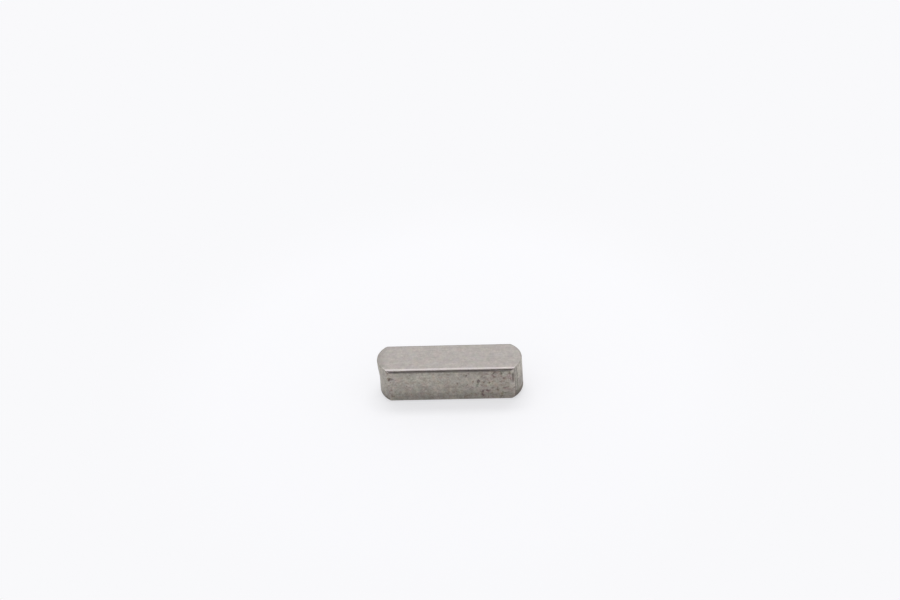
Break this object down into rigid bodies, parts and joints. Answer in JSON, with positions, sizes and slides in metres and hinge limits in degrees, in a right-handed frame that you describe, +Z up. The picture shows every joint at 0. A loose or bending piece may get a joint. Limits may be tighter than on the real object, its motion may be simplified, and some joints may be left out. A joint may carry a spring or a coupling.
{
  "type": "parallel key",
  "caption": "Small square steel machine key with bowed ends and rounded edges, which sits in matching keyways to lock a hub, gear or pulley to its shaft.",
  "frame": {"origin": "centre of the underside", "axes": "+X along the key's length, +Y across its width from flank to flank, +Z up out of the top face"},
  "size_m": [0.018, 0.005, 0.005],
  "materials": {
    "worn_ground_steel": "dull bare steel: fine ground top, flanks mottled with small pits and a little brown rust, edges rubbed bright"
  },
  "bodies": {
    "root": {"parallel_key": "worn_ground_steel"}
  },
  "joints": []
}
